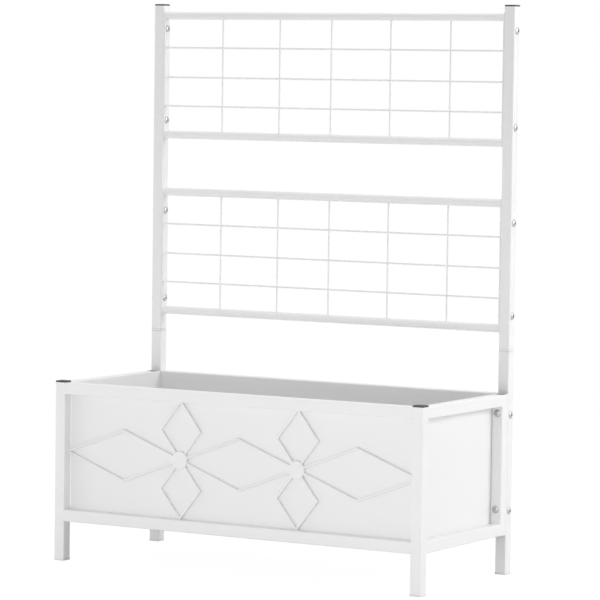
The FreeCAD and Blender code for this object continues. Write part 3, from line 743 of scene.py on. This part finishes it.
class PLANTER_OT_trellis(Operator):
    """Make the round rails, the wires and their welds for both trellis panels"""
    bl_idname = "planter.trellis"
    bl_label = "Trellis Panels"

    def execute(self, context):
        sizes = context.scene.planter_trellis
        coat = finish_for(context, "white_powder_coat")
        for level in ("upper", "lower"):
            self.make_panel(context, level, sizes, coat)
        return {"FINISHED"}

    def make_panel(self, context, level, sizes, coat):
        rails = islands(f"{level}_trellis_top_rail") + islands(f"{level}_trellis_bottom_rail")
        uprights = islands(f"{level}_trellis_upright_wires")
        levels = islands(f"{level}_trellis_level_wires")
        along_x = (1, 0, 0)
        along_y = (0, 1, 0)
        along_z = (0, 0, 1)
        length = rails[0][1][0] - rails[0][0][0]
        height = uprights[0][1][2] - uprights[0][0][2]

        def bars(spans, facing, diameter, bar_length):
            return grow_mesh(context, "planter_round_bars", [middle(span) for span in spans],
                             [facing] * len(spans),
                             {"Diameter": diameter, "Length": bar_length}, coat)

        def beads(spots, facing, bead):
            share, flatness = bead
            return grow_mesh(context, "planter_weld_beads", spots, [facing] * len(spots),
                             {"Diameter": sizes.weld_size * share, "Flatness": flatness}, coat)

        crossings = []
        ends = []
        for upright in uprights:
            spot = middle(upright)
            for wire in levels:
                crossings.append((spot.x, (spot.y + middle(wire).y) / 2, middle(wire).z))
            for end in upright:
                ends.append((spot.x, spot.y, end[2]))
        meshes = [
            bars(rails, along_x, sizes.rail_diameter, length),
            bars(uprights, along_z, sizes.wire_diameter, height + sizes.wire_diameter / 4),
            bars(levels, along_x, sizes.wire_diameter, length),
            beads(crossings, along_y, CROSSING_BEAD),
            beads(ends, along_z, RAIL_BEAD),
        ]
        mesh = merge_meshes(f"{level}_trellis_bars", meshes)
        add_piece(context, f"{level}_trellis_bars", mesh, coat, [
            f"{level}_trellis_top_rail", f"{level}_trellis_bottom_rail",
            f"{level}_trellis_upright_wires", f"{level}_trellis_level_wires"])


class PLANTER_OT_ornament(Operator):
    """Make the rhombi and discs on the front wall"""
    bl_idname = "planter.ornament"
    bl_label = "Front Ornament"

    def execute(self, context):
        sizes = context.scene.planter_ornament
        coat = finish_for(context, "white_powder_coat")
        wall = DISCS[0][1][1]
        height = middle(DISCS[0])[2]
        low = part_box("front_bottom_rail")[1][2]
        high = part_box("front_top_rail")[0][2]
        small_half_height = (high - low) / 4
        to_front = (0, -1, 0)
        bar = {"Bar Width": sizes.bar_width, "Bar Depth": sizes.bar_depth}
        wide_spots = [(step * 2 * sizes.wide_half_width, wall, height) for step in (-1, 0, 1)]
        small_spots = [(middle(disc)[0], wall, height + side * small_half_height)
                       for disc in DISCS for side in (-1, 1)]
        wide = grow_mesh(context, "planter_rhombus_bars", wide_spots, [to_front] * 3,
                         dict(bar, **{"Half Width": sizes.wide_half_width,
                                      "Half Height": sizes.wide_half_height}), coat)
        small = grow_mesh(context, "planter_rhombus_bars", small_spots, [to_front] * 4,
                          dict(bar, **{"Half Width": sizes.small_half_width,
                                       "Half Height": small_half_height}), coat)
        bars = merge_meshes("front_rhombi", [
            round_off(context, mesh, sizes.bar_rounding) for mesh in (wide, small)])
        add_piece(context, "front_rhombi", bars, coat, [
            "left_wide_rhombus", "centre_wide_rhombus", "right_wide_rhombus",
            "upper_left_small_rhombus", "lower_left_small_rhombus",
            "upper_right_small_rhombus", "lower_right_small_rhombus"])
        plates = grow_mesh(context, "planter_round_bars", [middle(disc) for disc in DISCS],
                           [to_front] * 2,
                           {"Diameter": DISCS[0][1][0] - DISCS[0][0][0],
                            "Length": DISCS[0][1][1] - DISCS[0][0][1]}, coat)
        plates = merge_meshes("front_discs", [round_off(context, plates, sizes.disc_bevel)])
        add_piece(context, "front_discs", plates, coat, ["ornament_discs"])
        return {"FINISHED"}


class PLANTER_OT_fasteners(Operator):
    """Make the domed heads of the bolts and sleeve nuts"""
    bl_idname = "planter.fasteners"
    bl_label = "Bolts and Sleeve Nuts"

    def execute(self, context):
        zinc = finish_for(context, "zinc_plate")
        for name in ("panel", "side", "upright"):
            self.make_set(context, name, zinc)
        return {"FINISHED"}

    def make_set(self, context, name, zinc):
        sizes = context.scene.planter_fasteners
        axis = 1 if name == "upright" else 0
        spots = []
        facing = []
        for node, outward in ((f"{name}_bolts", 1), (f"{name}_nuts", -1)):
            for span in islands(node):
                sign = outward if axis == 1 or middle(span)[0] > 0 else -outward
                spot = middle(span)
                spot[axis] = (span[1] if sign > 0 else span[0])[axis] - sign * sizes.head_height
                direction = Vector()
                direction[axis] = sign
                spots.append(spot)
                facing.append(direction)
                diameter = span[1][2] - span[0][2]
        heads = grow_mesh(context, "planter_bolt_heads", spots, facing,
                          {"Diameter": diameter, "Rim": sizes.head_rim,
                           "Dome Height": sizes.head_height - sizes.head_rim,
                           "Socket Across Corners": sizes.socket_across_corners,
                           "Socket Depth": sizes.socket_depth}, zinc)
        mesh = merge_meshes(f"{name}_fasteners", [heads], HEAD_SMOOTH_ANGLE)
        add_piece(context, f"{name}_fasteners", mesh, zinc,
                  [f"{name}_bolts", f"{name}_nuts"])


class PLANTER_OT_plugs(Operator):
    """Finish the dark caps and the white foot plugs"""
    bl_idname = "planter.plugs"
    bl_label = "Caps and Feet"

    def execute(self, context):
        dark = finish_for(context, "dark_cap_plastic")
        white = finish_for(context, "white_foot_plastic")
        for node in ("front_post_caps", "trellis_post_caps", "rear_upright_plugs"):
            smooth_copy(context, node, dark)
        smooth_copy(context, "foot_plugs", white)
        return {"FINISHED"}


# Each lamp's place, aim, width and height, in metres. Its power is the setting of its name.
LAMPS = {
    "front": ((0.2, -1.7, 0.15), (0, -0.1, 0.35), (2, 0.7)),
    "right": ((2.9, 0.9, 1.6), (0, 0, 0.4), (1.4, 1.2)),
    "top": ((0, 0.5, 3.2), (0, 0, 0), (2.5, 2)),
    "left": ((-2, -0.9, 0.2), (0, 0, 0.2), (1.4, 0.5)),
}
CAMERA_PLACE = (3.73185, -6.23619, 1.06054)
CAMERA_YAW, CAMERA_PITCH, CAMERA_ROLL = 0.534537, -0.067042, 0.013426  # radians
SENSOR_WIDTH = 36
VIEW_REACH = 200
FLOOR_REACH = 40
FLOOR_TONE = 0.8
OPEN_FLOOR_LEVEL = 1.01  # just over white


def backdrop_switch(tree, place):
    """1 for what the camera sees straight on, in a mirror or through glass, otherwise 0."""
    path = add_node(tree, "ShaderNodeLightPath", place)
    first = calculate(tree, "MAXIMUM", path.outputs["Is Camera Ray"], path.outputs["Is Glossy Ray"],
                      (place[0] + 200, place[1]))
    return calculate(tree, "MAXIMUM", first, path.outputs["Is Transmission Ray"],
                     (place[0] + 400, place[1]))


class PLANTER_OT_stage(Operator):
    """Set up the floor, the light and the camera"""
    bl_idname = "planter.stage"
    bl_label = "Studio"

    def execute(self, context):
        settings = context.scene.planter_stage
        self.make_floor(context, settings)
        self.make_world(context, settings)
        for name, (place, aim, size) in LAMPS.items():
            power = getattr(settings, f"{name}_light")
            self.make_lamp(context, f"{name}_lamp", place, aim, size, power)
        self.make_camera(context, settings)
        context.scene.view_settings.view_transform = "Standard"
        return {"FINISHED"}

    def make_floor(self, context, settings):
        mesh = bpy.data.meshes.new("studio_floor")
        corners = [(x * FLOOR_REACH, y * FLOOR_REACH, 0)
                   for x, y in ((-1, -1), (1, -1), (1, 1), (-1, 1))]
        mesh.from_pydata(corners, [], [(0, 1, 2, 3)])
        floor = bpy.data.objects.new("studio_floor", mesh)
        context.scene.collection.objects.link(floor)
        material = bpy.data.materials.new("studio_floor")
        material.use_nodes = True
        tree = material.node_tree
        tree.nodes.clear()
        end = add_node(tree, "ShaderNodeOutputMaterial", (600, 0))
        lit = add_node(tree, "ShaderNodeBsdfDiffuse", (0, 0))
        lit.inputs["Color"].default_value = (FLOOR_TONE, FLOOR_TONE, FLOOR_TONE, 1)
        glow = add_node(tree, "ShaderNodeEmission", (0, -200))
        # With the lit share, the open floor adds up to white.
        lit_share = settings.floor_shade * FLOOR_TONE * settings.room_light
        glow.inputs["Strength"].default_value = (
            (OPEN_FLOOR_LEVEL - lit_share) / (1 - settings.floor_shade))
        blend = add_node(tree, "ShaderNodeMixShader", (400, 0))
        share = calculate(tree, "MULTIPLY", backdrop_switch(tree, (-600, 200)),
                          1 - settings.floor_shade, (200, 200))
        wire_up(tree, (share, blend.inputs[0]), (lit.outputs[0], blend.inputs[1]),
                (glow.outputs[0], blend.inputs[2]), (blend.outputs[0], end.inputs["Surface"]))
        mesh.materials.append(material)

    def make_world(self, context, settings):
        world = bpy.data.worlds.new("studio_room")
        context.scene.world = world
        world.use_nodes = True
        tree = world.node_tree
        tree.nodes.clear()
        end = add_node(tree, "ShaderNodeOutputWorld", (800, 0))
        light = add_node(tree, "ShaderNodeBackground", (400, 100))
        seen = add_node(tree, "ShaderNodeBackground", (400, -100))
        for background in (light, seen):
            background.inputs["Color"].default_value = (1, 1, 1, 1)
        light.inputs["Strength"].default_value = settings.room_light
        blend = add_node(tree, "ShaderNodeMixShader", (600, 0))
        wire_up(tree, (backdrop_switch(tree, (-200, 200)), blend.inputs[0]),
                (light.outputs[0], blend.inputs[1]), (seen.outputs[0], blend.inputs[2]),
                (blend.outputs[0], end.inputs["Surface"]))

    def make_lamp(self, context, name, place, aim, size, power):
        lamp = bpy.data.lights.new(name, "AREA")
        lamp.shape = "RECTANGLE"
        lamp.size, lamp.size_y = size
        lamp.energy = power
        holder = bpy.data.objects.new(name, lamp)
        holder.location = place
        holder.rotation_mode = "QUATERNION"
        holder.rotation_quaternion = (Vector(aim) - Vector(place)).to_track_quat("-Z", "Y")
        holder.visible_camera = False
        context.scene.collection.objects.link(holder)

    def make_camera(self, context, settings):
        camera = bpy.data.cameras.new("studio_camera")
        camera.lens = settings.lens
        camera.sensor_width = SENSOR_WIDTH
        camera.clip_end = VIEW_REACH
        holder = bpy.data.objects.new("studio_camera", camera)
        turn = (Matrix.Rotation(CAMERA_YAW, 4, "Z")
                @ Matrix.Rotation(math.pi / 2 + CAMERA_PITCH, 4, "X")
                @ Matrix.Rotation(CAMERA_ROLL, 4, "Z"))
        holder.matrix_world = Matrix.Translation(CAMERA_PLACE) @ turn
        context.scene.collection.objects.link(holder)
        context.scene.camera = holder


class PLANTER_PT_panel(Panel):
    """The planter's pieces and sizes"""
    bl_label = "Planter with Trellis"
    bl_idname = "PLANTER_PT_panel"
    bl_space_type = "VIEW_3D"
    bl_region_type = "UI"
    bl_category = "Planter"

    def draw(self, context):
        layout = self.layout
        for group_name in GROUPS:
            group = getattr(context.scene, group_name)
            box = layout.box()
            for name in group.bl_rna.properties.keys():
                if name not in ("rna_type", "name"):
                    box.prop(group, name)
        for operator in OPERATORS:
            layout.operator(operator.bl_idname)


GROUPS = {
    "planter_finishes": PlanterFinishes,
    "planter_tubes": PlanterTubeSizes,
    "planter_trellis": PlanterTrellisSizes,
    "planter_ornament": PlanterOrnamentSizes,
    "planter_fasteners": PlanterFastenerSizes,
    "planter_stage": PlanterStageSettings,
}
OPERATORS = [
    PLANTER_OT_tubes, PLANTER_OT_sheets, PLANTER_OT_welds, PLANTER_OT_trellis,
    PLANTER_OT_ornament, PLANTER_OT_fasteners, PLANTER_OT_plugs, PLANTER_OT_stage,
]


def register():
    for group in GROUPS.values():
        bpy.utils.register_class(group)
    for operator in OPERATORS:
        bpy.utils.register_class(operator)
    bpy.utils.register_class(PLANTER_PT_panel)
    for name, group in GROUPS.items():
        setattr(bpy.types.Scene, name, PointerProperty(type=group))


def unregister():
    for name in GROUPS:
        delattr(bpy.types.Scene, name)
    bpy.utils.unregister_class(PLANTER_PT_panel)
    for operator in reversed(OPERATORS):
        bpy.utils.unregister_class(operator)
    for group in reversed(list(GROUPS.values())):
        bpy.utils.unregister_class(group)


def main():
    register()
    bpy.ops.planter.tubes()
    bpy.ops.planter.sheets()
    bpy.ops.planter.welds()
    bpy.ops.planter.trellis()
    bpy.ops.planter.ornament()
    bpy.ops.planter.fasteners()
    bpy.ops.planter.plugs()
    bpy.ops.planter.stage()


if __name__ == "__main__":
    main()
